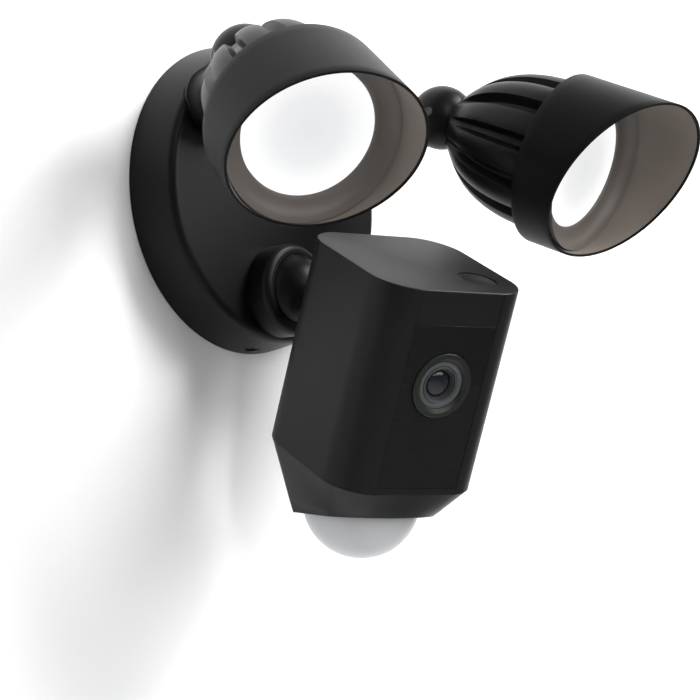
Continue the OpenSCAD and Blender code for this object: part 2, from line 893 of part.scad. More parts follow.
module speaker_grille() {
    pitch = 3;
    color([0.06, 0.06, 0.065])
    camera_frame() difference() {
        front_piece(lens_down, grille_end);
        at_lens() cylinder(r = bezel_r + skin, h = 20, center = true);
        for (column = [-5:5], row = [0:8])
            translate([column * pitch, 0, -lens_down - 17 - row * pitch]) rotate([90, 0, 0])
                cylinder(r = 0.7, h = 10, center = true, $fn = 16);
    }
}

module lens_bezel() {
    proud = 0.5;
    color([0.05, 0.05, 0.05])
    camera_frame() at_lens() rotate_extrude() polygon([
        [light_ring_r + skin, -panel_t],
        [bezel_r, -panel_t],
        [bezel_r, proud - 0.3],
        [bezel_r - 0.5, proud],
        [light_ring_r + skin + 0.6, proud],
        [light_ring_r + skin, -0.6]
    ]);
}

module light_ring() {
    color([0.7, 0.72, 0.74])
    camera_frame() at_lens() translate([0, 0, -panel_t]) ring(light_ring_r, 8, panel_t - 0.9);
}

module lens_barrel() {
    color([0.05, 0.05, 0.05])
    camera_frame() at_lens() difference() {
        translate([0, 0, -16]) cylinder(r = 8 - skin, h = 14.8);
        translate([0, 0, -4.4]) cylinder(r = 5.6, h = 6);
        translate([0, 0, -14]) cylinder(r = 4, h = 14);
    }
}

module lens_glass() {
    cap_h = 1.4;
    cap_r = (5.5 * 5.5 + cap_h * cap_h) / (2 * cap_h);
    color([0.12, 0.14, 0.2])
    camera_frame() at_lens() union() {
        translate([0, 0, -4.3]) cylinder(r = 5.5, h = 1.2);
        intersection() {
            translate([0, 0, -3.2 + cap_h - cap_r]) sphere(r = cap_r);
            translate([0, 0, -3.3]) cylinder(r = 5.4, h = cap_h + 1);
        }
    }
}

module image_sensor_board() {
    color([0.1, 0.35, 0.18])
    camera_frame() {
        translate([-12, 16 + skin, -lens_down - 12]) cube([24, board_t, 24]);
        translate([-12, 16 + skin + board_t, -lens_down - 5]) cube([24, 3, 10]);
    }
}

module status_light() {
    color([0.3, 0.4, 0.5])
    camera_frame() translate([-16.1, 0.3, -31]) rotate([-90, 0, 0]) {
        cylinder(r = 1, h = 3);
        translate([0, 0, panel_t]) cylinder(r = 1.7, h = 2);
    }
}

module infrared_leds() {
    color([0.35, 0.1, 0.25])
    camera_frame()
        for (x = [-12.5, 12.5])
            translate([x, panel_t + 1, -22]) rotate([-90, 0, 0]) {
                cylinder(r = 2.5, h = 5);
                translate([0, 0, 4]) cylinder(r = 3, h = 1.5);
            }
}

module main_board() {
    color([0.1, 0.35, 0.18])
    camera_frame() {
        translate([-28, 34, -78]) cube([56, board_t, 62]);
        translate([-12, 34 + board_t - 0.01, -64]) cube([24, 3, 20]);
        translate([-20, 34 - 2.99, -40]) cube([14, 3, 14]);
    }
}

module siren() {
    color([0.3, 0.3, 0.32])
    camera_frame() translate([0, panel_t + 0.6, -64]) rotate([-90, 0, 0]) difference() {
        cylinder(r = 14, h = 12);
        translate([0, 0, -over]) cylinder(r = 11, h = 3);
    }
}

module setup_button() {
    dish_r = 40;
    color([0.11, 0.11, 0.115])
    camera_frame() translate([body_w / 2 - body_corner_r, body_corner_r, 0]) difference() {
        union() {
            translate([0, 0, -body_wall - 0.2]) cylinder(r = button_r, h = body_wall);
            translate([0, 0, -body_wall - button_travel - 1.6])
                cylinder(r = button_r + 1.2, h = 1.4);
            translate([0, 0, -body_wall - button_travel - 1.6])
                cylinder(r = button_r - 1, h = button_travel + 2);
            translate([0, 0, -body_wall - button_travel - 3]) cylinder(r = 2, h = 3);
        }
        translate([0, 0, dish_r - 1]) sphere(r = dish_r);
    }
}

module button_switch() {
    switch_top = -body_wall - 2 * button_travel - 3 - 0.4;
    color([0.2, 0.2, 0.2])
    camera_frame() translate([body_w / 2 - body_corner_r, body_corner_r, 0]) {
        translate([-3, -3, switch_top - 3.4]) cube([6, 6, 3]);
        translate([0, 0, switch_top - 0.5]) cylinder(r = 1.6, h = 0.5);
        translate([-8, -8, switch_top - 5]) cube([16, 16, board_t]);
    }
}

// ---- Assembly --------------------------------------------------------------

canopy();
mounting_plate();
wall_gasket();
canopy_screws();
power_board();
power_parts();
terminal_block();
ball_cup();
ball_collar();
arm(left);  // left_arm
arm_seal(left);  // left_arm_seal
arm_nut(left);  // left_arm_nut
tilt_pin(left);  // left_tilt_pin
tilt_pivot(left);  // left_tilt_pivot
pivot_nut(left);  // left_pivot_nut
arm(right);  // right_arm
arm_seal(right);  // right_arm_seal
arm_nut(right);  // right_arm_nut
tilt_pin(right);  // right_tilt_pin
tilt_pivot(right);  // right_tilt_pivot
pivot_nut(right);  // right_pivot_nut
lamp_housing(left);  // left_lamp_housing
lamp_hood(left);  // left_lamp_hood
lamp_reflector(left);  // left_lamp_reflector
lamp_lens(left);  // left_lamp_lens
lens_gasket(left);  // left_lens_gasket
led_board(left);  // left_led_board
leds(left);  // left_leds
lamp_housing(right);  // right_lamp_housing
lamp_hood(right);  // right_lamp_hood
lamp_reflector(right);  // right_lamp_reflector
lamp_lens(right);  // right_lamp_lens
lens_gasket(right);  // right_lens_gasket
led_board(right);  // right_led_board
leds(right);  // right_leds
ball_seat();
camera_stem();
stem_nut();
camera_housing();
lower_cover();
front_strip();
front_glass();
speaker_grille();
lens_bezel();
light_ring();
lens_barrel();
lens_glass();
image_sensor_board();
status_light();
infrared_leds();
main_board();
siren();
setup_button();
button_switch();
motion_dome();
motion_board();
motion_sensors();
cover_screws();
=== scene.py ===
"""Looks of the wall floodlight camera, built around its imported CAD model.

Detailed pieces are made in mesh code in the lamps' and the camera's own frames, which are read from
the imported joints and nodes. Lengths inside those frames are in millimetres.
"""
import json
import math

import bmesh
import bpy
import numpy as np
from mathutils import Matrix, Vector


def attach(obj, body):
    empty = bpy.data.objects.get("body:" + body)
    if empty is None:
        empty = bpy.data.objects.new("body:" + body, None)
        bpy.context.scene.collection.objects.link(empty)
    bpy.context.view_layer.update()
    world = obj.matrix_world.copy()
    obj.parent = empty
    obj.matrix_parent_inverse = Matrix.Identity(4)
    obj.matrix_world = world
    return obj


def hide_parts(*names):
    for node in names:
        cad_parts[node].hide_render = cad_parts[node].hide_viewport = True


MM = 0.001
LENS_R = 27.4

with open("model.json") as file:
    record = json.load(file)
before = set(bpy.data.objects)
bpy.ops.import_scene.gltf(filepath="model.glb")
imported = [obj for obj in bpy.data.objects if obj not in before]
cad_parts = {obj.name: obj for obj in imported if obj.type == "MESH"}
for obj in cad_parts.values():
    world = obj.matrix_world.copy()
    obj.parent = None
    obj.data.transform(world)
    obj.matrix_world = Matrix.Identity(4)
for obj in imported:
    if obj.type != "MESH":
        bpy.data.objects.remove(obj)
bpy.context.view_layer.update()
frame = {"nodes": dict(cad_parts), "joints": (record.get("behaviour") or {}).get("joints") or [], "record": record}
scene = bpy.context.scene
joints = {joint["name"]: joint for joint in frame["joints"]}
slot_of = {part["node"]: part["material_slot"] for part in frame["record"]["subparts"]}


# ---- Materials ---------------------------------------------------------------


class Nodes:
    """Short way to add and link shader nodes in one material."""

    def __init__(self, name):
        self.material = bpy.data.materials.new(name)
        self.material.use_nodes = True
        self.tree = self.material.node_tree
        self.bsdf = self.tree.nodes["Principled BSDF"]

    def add(self, kind, **values):
        node = self.tree.nodes.new(kind)
        for key, value in values.items():
            if hasattr(node, key):
                setattr(node, key, value)
            else:
                node.inputs[key.title()].default_value = value
        return node

    def link(self, source, target):
        self.tree.links.new(source, target)

    def coords(self, scale=(1, 1, 1)):
        place = self.add("ShaderNodeTexCoord")
        mapping = self.add("ShaderNodeMapping")
        mapping.inputs["Scale"].default_value = scale
        self.link(place.outputs["Object"], mapping.inputs["Vector"])
        return mapping.outputs["Vector"]

    def noise(self, vector, scale, detail=3.0, roughness=0.5):
        noise = self.add("ShaderNodeTexNoise", scale=scale, detail=detail, roughness=roughness)
        self.link(vector, noise.inputs["Vector"])
        return noise.outputs["Fac"]

    def ramp(self, factor, stops):
        ramp = self.add("ShaderNodeValToRGB")
        ramp.color_ramp.interpolation = "LINEAR"
        elements = ramp.color_ramp.elements
        while len(elements) < len(stops):
            elements.new(0.5)
        for element, (place, colour) in zip(elements, stops):
            element.position = place
            element.color = (*colour, 1.0)
        self.link(factor, ramp.inputs["Fac"])
        return ramp.outputs["Color"]

    def spread(self, factor, low, high):
        out = self.add("ShaderNodeMapRange")
        out.inputs["To Min"].default_value = low
        out.inputs["To Max"].default_value = high
        self.link(factor, out.inputs["Value"])
        return out.outputs["Result"]

    def bump(self, height, strength, distance):
        bump = self.add("ShaderNodeBump")
        bump.inputs["Strength"].default_value = strength
        bump.inputs["Distance"].default_value = distance
        self.link(height, bump.inputs["Height"])
        self.link(bump.outputs["Normal"], self.bsdf.inputs["Normal"])


def shade(colour, factor):
    """The colour made lighter or darker by a factor."""
    return tuple(min(1.0, channel * factor) for channel in colour)


def moulded(name, colour, rough, grain=0.00035, bump=0.12, sockets=None):
    """Moulded plastic or powder-coated metal: fine grain, slightly uneven tone and sheen."""
    vary = 0.12
    patch_scale = 28.0
    made = Nodes(name)
    place = made.coords()
    patches = made.noise(place, patch_scale, detail=4.0)
    fine = made.noise(place, 1.0 / grain, detail=2.0, roughness=0.6)
    tone = made.ramp(patches, [(0.3, shade(colour, 1 - vary)), (0.7, shade(colour, 1 + vary))])
    made.link(tone, made.bsdf.inputs["Base Color"])
    made.link(made.spread(fine, rough - 0.05, rough + 0.06), made.bsdf.inputs["Roughness"])
    made.bump(fine, bump, grain * 0.5)
    for socket, value in (sockets or {}).items():
        made.bsdf.inputs[socket].default_value = value
    return made


def metal(name, colour, rough, brushed=(1.0, 1.0, 0.04)):
    """Plated or bare metal with fine brush lines."""
    line_scale = 2200.0
    made = Nodes(name)
    lines = made.noise(made.coords(scale=brushed), line_scale, detail=3.0)
    made.link(
        made.ramp(lines, [(0.3, shade(colour, 0.88)), (0.7, shade(colour, 1.06))]),
        made.bsdf.inputs["Base Color"],
    )
    made.link(made.spread(lines, rough - 0.06, rough + 0.08), made.bsdf.inputs["Roughness"])
    made.bsdf.inputs["Metallic"].default_value = 1.0
    made.bump(lines, 0.08, 0.0001)
    return made


def perforated(name, colour, rough, pitch):
    """Plastic with a fine field of round holes. The holes are shading only, not geometry; their dark colour is
    painted shade.
    """
    made = Nodes(name)
    place = made.coords(scale=(1 / pitch, 1 / pitch, 1 / pitch))
    cells = made.add("ShaderNodeTexVoronoi", feature="F1", scale=1.0)
    cells.inputs["Randomness"].default_value = 0.0
    made.link(place, cells.inputs["Vector"])
    hole = made.ramp(cells.outputs["Distance"], [(0.28, (0, 0, 0)), (0.36, (1, 1, 1))])
    depth = made.add("ShaderNodeRGBToBW")
    made.link(hole, depth.inputs["Color"])
    # Painted shade: the holes are darkened to a quarter of the plastic's colour.
    tone = made.ramp(depth.outputs["Val"], [(0.0, shade(colour, 0.25)), (1.0, colour)])
    made.link(tone, made.bsdf.inputs["Base Color"])
    made.link(made.spread(hole, 0.9, rough), made.bsdf.inputs["Roughness"])
    made.bump(hole, 0.5, 0.0003)
    made.bsdf.inputs["Specular IOR Level"].default_value = 0.12
    return made


def diffuser(name):
    """Opal disc lit from behind: nearly white, cooler in the middle, brightest at its edge."""
    made = Nodes(name)
    place = made.coords()
    flat = made.add("ShaderNodeVectorMath", operation="MULTIPLY")
    flat.inputs[1].default_value = (1, 1, 0)
    made.link(place, flat.inputs[0])
    away = made.add("ShaderNodeVectorMath", operation="LENGTH")
    made.link(flat.outputs["Vector"], away.inputs[0])
    reach = made.add("ShaderNodeMapRange")
    reach.inputs["From Max"].default_value = LENS_R * MM
    made.link(away.outputs["Value"], reach.inputs["Value"])
    glow = made.ramp(
        reach.outputs["Result"],
        [(0.0, (0.74, 0.745, 0.755)), (0.5, (0.80, 0.805, 0.815)), (0.82, (0.94, 0.945, 0.95)),
         (1.0, (1.0, 1.0, 1.0))],
    )
    speckle = made.noise(place, 900.0)
    made.link(made.spread(speckle, 0.42, 0.5), made.bsdf.inputs["Roughness"])
    made.link(glow, made.bsdf.inputs["Emission Color"])
    made.bsdf.inputs["Base Color"].default_value = (0.1, 0.1, 0.1, 1)
    made.bsdf.inputs["Emission Strength"].default_value = 0.97
    return made


def milky(name, colour):
    """Translucent light grey dome."""
    made = Nodes(name)
    place = made.coords()
    cloud = made.noise(place, 60.0)
    made.link(
        made.ramp(cloud, [(0.3, shade(colour, 0.97)), (0.7, shade(colour, 1.02))]),
        made.bsdf.inputs["Base Color"],
    )
    made.link(made.spread(cloud, 0.26, 0.34), made.bsdf.inputs["Roughness"])
    made.bsdf.inputs["Subsurface Weight"].default_value = 0.6
    made.bsdf.inputs["Subsurface Radius"].default_value = (0.006, 0.006, 0.006)
    made.bsdf.inputs["Subsurface Scale"].default_value = 1.0
    made.bump(made.noise(place, 1800.0), 0.04, 0.0001)
    return made


def coated_glass(name):
    """Near-black, very smooth glass with a faint blue cast."""
    made = Nodes(name)
    place = made.coords()
    swirl = made.noise(place, 300.0)
    made.link(
        made.ramp(swirl, [(0.35, (0.004, 0.005, 0.009)), (0.65, (0.009, 0.009, 0.014))]),
        made.bsdf.inputs["Base Color"],
    )
    made.link(made.spread(swirl, 0.03, 0.06), made.bsdf.inputs["Roughness"])
    made.bsdf.inputs["Specular IOR Level"].default_value = 0.4
    return made


BLACK = (0.0052, 0.0052, 0.0054)
looks = {
    "body_plastic": moulded("body_plastic", BLACK, 0.40, sockets={"Specular IOR Level": 0.15}),
    "cast_black": moulded(
        "cast_black", shade(BLACK, 1.1), 0.36, grain=0.0005, bump=0.12,
        sockets={"Specular IOR Level": 0.12},
    ),
    "hood_metal": moulded(
        "hood_metal", shade(BLACK, 1.35), 0.42, grain=0.0004, bump=0.12,
        sockets={"Specular IOR Level": 0.06},
    ),
    # Painted light: the hood's inside and the trim dish are a warm grey, lighter than the black, for the light
    # that falls inside the hood.
    "hood_inside": moulded("hood_inside", (0.15, 0.126, 0.108), 0.55, grain=0.0005, bump=0.15),
    "reflector_grey": moulded("reflector_grey", (0.11, 0.095, 0.084), 0.5, grain=0.0005),
    "diffuser": diffuser("diffuser"),
    "front_gloss": moulded(
        "front_gloss", (0.0035, 0.0035, 0.004), 0.14, bump=0.01,
        sockets={"Specular IOR Level": 0.15},
    ),
    "grille_plastic": perforated("grille_plastic", (0.0075, 0.0075, 0.0078), 0.5, 0.00095),
    "bezel_satin": moulded(
        "bezel_satin", (0.011, 0.0125, 0.0095), 0.3, bump=0.03, sockets={"Specular IOR Level": 0.2}
    ),
    "light_guide": moulded("light_guide", (0.04, 0.047, 0.05), 0.35, bump=0.02),
    "optic": coated_glass("optic"),
    "dome_milk": milky("dome_milk", (0.47, 0.475, 0.49)),
    "plate_steel": metal("plate_steel", (0.55, 0.56, 0.57), 0.38),
    "screw_steel": metal("screw_steel", (0.5, 0.5, 0.5), 0.32, brushed=(1, 1, 1)),
    "screw_black": moulded("screw_black", (0.03, 0.03, 0.03), 0.35, bump=0.05),
    "foam": moulded("foam", (0.03, 0.03, 0.03), 0.85, grain=0.0008, bump=0.5),
    "board_green": moulded("board_green", (0.02, 0.11, 0.045), 0.4, bump=0.05),
    "board_white": moulded("board_white", (0.75, 0.75, 0.74), 0.4, bump=0.05),
    "chips": moulded("chips", (0.025, 0.025, 0.027), 0.45, bump=0.1),
    "terminal_white": moulded("terminal_white", (0.6, 0.59, 0.53), 0.45, bump=0.08),
    "led_yellow": moulded("led_yellow", (0.8, 0.62, 0.16), 0.5, bump=0.05),
    "brass_nut": metal("brass_nut", (0.68, 0.5, 0.22), 0.3, brushed=(1, 1, 1)),
    "slide_white": moulded("slide_white", (0.7, 0.7, 0.68), 0.35, bump=0.04),
    "sensor_tan": moulded("sensor_tan", (0.42, 0.41, 0.38), 0.4, bump=0.05),
}

for name, node in frame["nodes"].items():
    node.data.materials.clear()
    node.data.materials.append(looks[slot_of[name]].material)


# ---- Frames ------------------------------------------------------------------


def points_of(node):
    """Every vertex of a CAD node, in metres."""
    mesh = frame["nodes"][node].data
    found = np.empty(len(mesh.vertices) * 3, np.float32)
    mesh.vertices.foreach_get("co", found)
    return found.reshape(-1, 3).astype(float)


def axes_matrix(origin, x_axis, y_axis, z_axis):
    """Placing matrix of a frame with this origin and these unit axes."""
    made = Matrix.Identity(4)
    for column, axis in enumerate((x_axis, y_axis, z_axis)):
        for row in range(3):
            made[row][column] = axis[row]
    for row in range(3):
        made[row][3] = origin[row]
    return made


def unit(vector):
    vector = np.asarray(vector, float)
    return vector / np.linalg.norm(vector)


def lamp_frame(side):
    """Origin in the knuckle, +Z along the lamp, +Y towards the hood's long side."""
    spin = joints[side + "_lamp_spin"]
    origin = np.array(spin["pos_m"])
    along = unit(spin["axis"])
    reach = points_of(side + "_lamp_hood") - origin
    tip = reach[np.argmax(reach @ along)]
    up = unit(tip - (tip @ along) * along)
    return axes_matrix(origin, np.cross(up, along), up, along)


def camera_frame():
    """Origin at the middle of the body's top front edge: +X right, +Y back, +Z up."""
    up = -unit(joints["setup_button_press"]["axis"])
    front = unit(joints["camera_roll"]["axis"])
    side = np.cross(up, front)
    ball = np.array(joints["camera_roll"]["pos_m"])
    shell = points_of("camera_housing") - ball
    middle = (shell @ side).max() / 2 + (shell @ side).min() / 2
    origin = ball + up * (shell @ up).max() + front * (shell @ front).max() + side * middle
    return axes_matrix(origin, side, -front, up)


CAMERA = camera_frame()


# ---- Mesh building -----------------------------------------------------------


def arc(cx, cy, radius, start, end, steps):
    """Points on an arc, with angles in degrees."""
    turn = [math.radians(start + (end - start) * i / steps) for i in range(steps + 1)]
    return [(cx + radius * math.cos(a), cy + radius * math.sin(a)) for a in turn]


def rounded(corners, steps):
    """Closed outline from corners given as (x, y, radius)."""
    out = []
    count = len(corners)
    for i, (x, y, radius) in enumerate(corners):
        here = Vector((x, y))
        if radius <= 0:
            out.append((x, y))
            continue
        before = (Vector(corners[i - 1][:2]) - here).normalized()
        after = (Vector(corners[(i + 1) % count][:2]) - here).normalized()
        half = before.angle(after) / 2
        centre = here + (before + after).normalized() * (radius / math.sin(half))
        start = here + before * (radius / math.tan(half)) - centre
        end = here + after * (radius / math.tan(half)) - centre
        swing = start.angle_signed(end)
        for step in range(steps + 1):
            turned = start.copy()
            turned.rotate(Matrix.Rotation(-swing * step / steps, 2))
            out.append(tuple(centre + turned))
    return out


def ring_points(radius, height, steps, middle=(0, 0)):
    """Round ring of points. height is one value, or a function of the turn in radians."""
    made = []
    for i in range(steps):
        turn = math.tau * i / steps
        z = height(turn) if callable(height) else height
        x = middle[0] + radius * math.cos(turn)
        y = middle[1] + radius * math.sin(turn)
        made.append((x, y, z))
    return made


def band(bm, lower, upper, material=0):
    """Skins the gap between two loops of as many vertices."""
    count = len(lower)
    for i in range(count):
        j = (i + 1) % count
        face = bm.faces.new((lower[i], lower[j], upper[j], upper[i]))
        face.material_index = material


def finish_mesh(name, bm, place, body, look, sharp=32, stands_for=()):
    """Turns a bmesh in millimetres into a riding piece with smooth faces and sharp creases.

    look is a material's name, or a list of them where the faces use more than one.
    """
    bmesh.ops.remove_doubles(bm, verts=bm.verts, dist=1e-4)
    bmesh.ops.recalc_face_normals(bm, faces=bm.faces)
    bmesh.ops.scale(bm, vec=(MM, MM, MM), verts=bm.verts)
    limit = math.radians(sharp)
    for face in bm.faces:
        face.smooth = True
    for edge in bm.edges:
        if len(edge.link_faces) == 2 and edge.calc_face_angle(0) > limit:
            edge.smooth = False
    mesh = bpy.data.meshes.new(name)
    bm.to_mesh(mesh)
    bm.free()
    piece = bpy.data.objects.new(name, mesh)
    scene.collection.objects.link(piece)
    piece.matrix_world = place
    names = look if isinstance(look, list) else [look]
    for each in names:
        mesh.materials.append(looks[each].material)
    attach(piece, body)
    if stands_for:
        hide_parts(*stands_for)
    return piece


def loft(bm, rings, close_last=False):
    """Skins rings of equal length, and fills the last one where close_last is true."""
    made = [[bm.verts.new(point) for point in ring] for ring in rings]
    for lower, upper in zip(made, made[1:]):
        band(bm, lower, upper)
    if close_last:
        bm.faces.new(made[-1])
    return made


def lathe(bm, outline, steps):
    """Turns a closed (radius, z) outline about Z. Corners on the axis become poles."""
    rings = []
    for radius, z in outline:
        if radius < 1e-6:
            rings.append([bm.verts.new((0, 0, z))])
        else:
            rings.append([bm.verts.new(point) for point in ring_points(radius, z, steps)])
    for k, ring in enumerate(rings):
        after = rings[(k + 1) % len(rings)]
        for i in range(steps):
            j = (i + 1) % steps
            if len(ring) == 1 and len(after) == 1:
                break
            if len(ring) == 1:
                corners = (ring[0], after[j], after[i])
            elif len(after) == 1:
                corners = (ring[i], ring[j], after[0])
            else:
                corners = (ring[i], ring[j], after[j], after[i])
            bm.faces.new(corners)


def turned(name, outline, place, body, look, stands_for=(), steps=96, **extra):
    """One turned piece, from its closed (radius, z) outline."""
    bm = bmesh.new()
    lathe(bm, outline, steps)
    return finish_mesh(name, bm, place, body, look, stands_for=stands_for, **extra)


# ---- Lamps -------------------------------------------------------------------

# Sizes are the CAD model's, in mm in the lamp's frame
HOOD_R = 38.6
HOOD_WALL = 2.3
HOOD_LIP = 1.2
LAMP_LEN = 62.0
HOOD_LONG = 49.8
HOOD_SHORT = 18.0
LENS_AT = 13.1
NECK_R = 13.0
NECK_AT = 10.9
RIBS = 12
GIRTH_R = 34.2
FLUTE = 5.2
# Shares of a rib's pitch: its crown, and the slope down into the flute
CROWN_SHARE = 0.56
SLOPE_SHARE = 0.24
CROWN_RISE = 0.55


def crest(share):
    """Radius of the ribs' crests, from the neck (0) to the hood (1)."""
    return NECK_R + (GIRTH_R - NECK_R) * math.sin(math.radians(90 * share ** 0.356)) ** 3


def lobe(turn):
    """0 on a rib's crest and 1 at the bottom of a flute. turn is a share of a rib's pitch."""
    away = abs((turn % 1.0) - 0.5) * 2
    edge = min(1.0, max(0.0, (away - CROWN_SHARE) / SLOPE_SHARE))
    return edge * edge * (3 - 2 * edge)


def crown(turn):
    """Rise of a rib's crest over its shoulders, and 0 outside the crown."""
    if lobe(turn) > 0:
        return 0
    away = abs(turn % 1.0 - 0.5) * 2
    return CROWN_RISE * (1 - (away / CROWN_SHARE) ** 2)


def lamp_housing(side):
    """Ribbed body: rounded lobes, and deep flutes that close at the neck and end at the hood."""
    bm = bmesh.new()
    per_rib = 24
    around = RIBS * per_rib
    along = 44
    neck = [(9.0, NECK_AT + 1.2), (NECK_R - 0.3, NECK_AT), (NECK_R + 0.5, NECK_AT + 0.3),
            (NECK_R + 0.7, NECK_AT + 1.0), (NECK_R + 0.3, NECK_AT + 1.7)]
    rings = [ring_points(radius, z, around) for radius, z in neck]
    first = NECK_AT + 2.0
    for k in range(along + 1):
        share = (k / along) ** 1.5
        z = first + (LAMP_LEN - 0.2 - first) * share
        top = crest((z - NECK_AT) / (LAMP_LEN - NECK_AT))
        depth = FLUTE * min(1.0, share / 0.3) ** 0.9
        ring = []
        for i in range(around):
            turn = math.tau * i / around
            rise = max(-0.2, crown(i / per_rib) - 0.3) * min(1, share * 4)
            radius = top - depth * lobe(i / per_rib) + rise
            ring.append((radius * math.cos(turn), radius * math.sin(turn), z))
        rings.append(ring)
    rings.append(ring_points(GIRTH_R - 6, LAMP_LEN - 0.15, around))
    loft(bm, rings, close_last=True)
    return finish_mesh(
        side + "_ribbed_body", bm, lamp_frame(side), side + "_lamp", "cast_black", sharp=50,
        stands_for=[side + "_lamp_housing"],
    )


def hood_rim(radius, turn, inset=0.0):
    """Height of the hood's slanted rim over the lamp's frame."""
    middle = LAMP_LEN + (HOOD_LONG + HOOD_SHORT) / 2
    slope = (HOOD_LONG - HOOD_SHORT) / (2 * HOOD_R)
    return middle + radius * math.sin(turn) * slope - inset


def lamp_hood(side):
    """Thin round hood with a slanted, softly rounded rim; its inside is painted a warm grey that stands for the
    light falling in it.
    """
    bm = bmesh.new()
    around = 192
    back = LAMP_LEN + 0.1
    side_from = back + 0.8
    floor = LAMP_LEN + LENS_AT + 2.5
    inner = HOOD_R - HOOD_WALL

    def wall_height(share):
        return lambda turn: side_from + (hood_rim(HOOD_R, turn, 0.5) - back - 0.8) * share

    def rim_height(radius, inset):
        return lambda turn: hood_rim(radius, turn, inset)

    def inside_height(radius, share):
        def height(turn):
            top = hood_rim(radius, turn, 0.9)
            return min(floor, top) + max(0.0, top - floor) * share
        return height

    outside = [ring_points(radius, z, around) for radius, z in (
        (HOOD_R - 12, back), (HOOD_R - 0.7, back), (HOOD_R - 0.2, back + 0.2), (HOOD_R, side_from),
    )]
    for share in (0.12, 0.3, 0.5, 0.7, 0.88):
        outside.append(ring_points(HOOD_R, wall_height(share), around))
    for radius, inset in (
        (HOOD_R, 0.45), (HOOD_R - 0.12, 0.15), (HOOD_R - 0.4, 0.0),
        (HOOD_R - HOOD_LIP + 0.3, 0.0), (HOOD_R - HOOD_LIP, 0.25),
    ):
        outside.append(ring_points(radius, rim_height(radius, inset), around))
    inside = []
    for share in (1.0, 0.9, 0.75, 0.5, 0.25, 0.0):
        radius = inner + (HOOD_WALL - HOOD_LIP) * share ** 3
        inside.append(ring_points(radius, inside_height(radius, share), around))
    inside.append(ring_points(inner, back + 9.0, around))
    made = [[bm.verts.new(point) for point in ring] for ring in outside + inside]
    for k, lower in enumerate(made):
        both_inside = len(outside) <= k < len(made) - 1
        band(bm, lower, made[(k + 1) % len(made)], material=1 if both_inside else 0)
    return finish_mesh(
        side + "_hood", bm, lamp_frame(side), side + "_lamp", ["hood_metal", "hood_inside"],
        sharp=40, stands_for=[side + "_lamp_hood"],
    )


def lamp_front(side):
    """Concave trim between the hood's wall and the diffuser, and the diffuser itself. The trim's warm grey is
    painted light.
    """
    place = lamp_frame(side)
    base = LAMP_LEN + LENS_AT
    inner = HOOD_R - HOOD_WALL - 0.05
    trim = [(LENS_R + 0.15, base - 2.0), (LENS_R + 0.15, base + 0.1), (LENS_R + 0.5, base + 0.5)]
    for i in range(1, 11):
        share = i / 10
        trim.append((
            LENS_R + 0.5 + (inner - LENS_R - 0.5) * math.sin(math.pi / 2 * share) ** 0.9,
            base + 0.5 + 6.0 * (1 - math.cos(math.pi / 2 * share)),
        ))
    trim += [(inner, base - 2.0)]
    turned(side + "_trim_dish", trim, place, side + "_lamp", "reflector_grey", sharp=50,
           stands_for=[side + "_lamp_reflector"])
    disc = [(0, base - 2.2), (LENS_R, base - 2.2)]
    for i in range(0, 13):
        share = 1 - i / 12
        disc.append((LENS_R * share, base - 0.3 + 0.9 * (1 - share ** 2) ** 0.5))
    turned(side + "_diffuser", disc, place, side + "_lamp", "diffuser", sharp=60,
           stands_for=[side + "_lamp_lens"])


for side in ("left", "right"):
    lamp_housing(side)
    lamp_hood(side)
    lamp_front(side)


# ---- Camera ------------------------------------------------------------------

# Sizes are the CAD model's, in mm in the camera's frame
BODY_W = 69.2
BODY_D = 70.0
BODY_H = 86.2
CORNER_R = 17.0
BOTTOM_R = 29.3
BOTTOM_BACK = 30.3
TAPER = 10.6
BOTTOM_TILT = 20.8
BOTTOM_SLOPE = math.tan(math.radians(BOTTOM_TILT))
DOME_R = 24.5
DOME_SUNK = 6.0
DOME_BACK = 32.0
FRONT_HALF = 19.5
FRONT_STEPS = 8
FRONT_END = 83.6
PANEL_T = 2.0
LENS_DOWN = 39.4
STRIP_H = 14.2
BEZEL_R = 13.6
BEZEL_BORE = 10.0
RING_BORE = 7.9
BARREL_R = 7.8
GLASS_R = 5.4
BUTTON_AT = (BODY_W / 2 - CORNER_R, CORNER_R)
BUTTON_R = 8.0
EDGE_R = 0.7
EDGE_TURNS = (0, 30, 60, 90)


def plan(less, corner=14):
    """Rounded-square outline, with points at the front opening's edges, going left to right."""
    half = BODY_W / 2 - less
    radius = CORNER_R - less
    out = []
    for x in np.linspace(-FRONT_HALF, FRONT_HALF, FRONT_STEPS + 1):
        out.append((x, less))
    corners = (
        (half - radius, CORNER_R, -90), (half - radius, BODY_D - CORNER_R, 0),
        (radius - half, BODY_D - CORNER_R, 90), (radius - half, CORNER_R, 180),
    )
    edge = half - radius
    if edge < FRONT_HALF:
        turned_to = math.degrees(math.asin(min(1, (FRONT_HALF - edge) / radius)))
    else:
        turned_to = 0
    for k, (cx, cy, start) in enumerate(corners):
        first = start + (turned_to if k == 0 else 0)
        last = start + 90 - (turned_to if k == 3 else 0)
        points = arc(cx, cy, radius, first, last, corner)
        if k == 0 and turned_to:
            points = points[1:]
        if k == 3 and turned_to:
            points = points[:-1]
        out += points
    return out


def bottom_ring(upper, radius, sink=0.0):
    """Round bottom outline on the slanted plane, matched point for point to an upper outline."""
    out = []
    for x, y in upper:
        angle = math.atan2(y - BODY_D / 2, x)
        px = radius * math.cos(angle)
        py = BOTTOM_BACK + radius * math.cos(math.radians(BOTTOM_TILT)) * math.sin(angle)
        out.append((px, py, -BODY_H - TAPER - BOTTOM_SLOPE * py + sink))
    return out


def flat_ring(outline, z):
    """A level ring of points from an (x, y) outline."""
    return [(x, y, z) for x, y in outline]


def fill_ring(bm, outer, inner):
    """Flat face between an outer loop and a hole, as triangles."""
    edges = []
    for ring in (outer, inner):
        for i, vert in enumerate(ring):
            after = ring[(i + 1) % len(ring)]
            edge = bm.edges.get((vert, after)) or bm.edges.new((vert, after))
            edges.append(edge)
    bmesh.ops.triangle_fill(bm, use_beauty=True, use_dissolve=False, edges=edges)


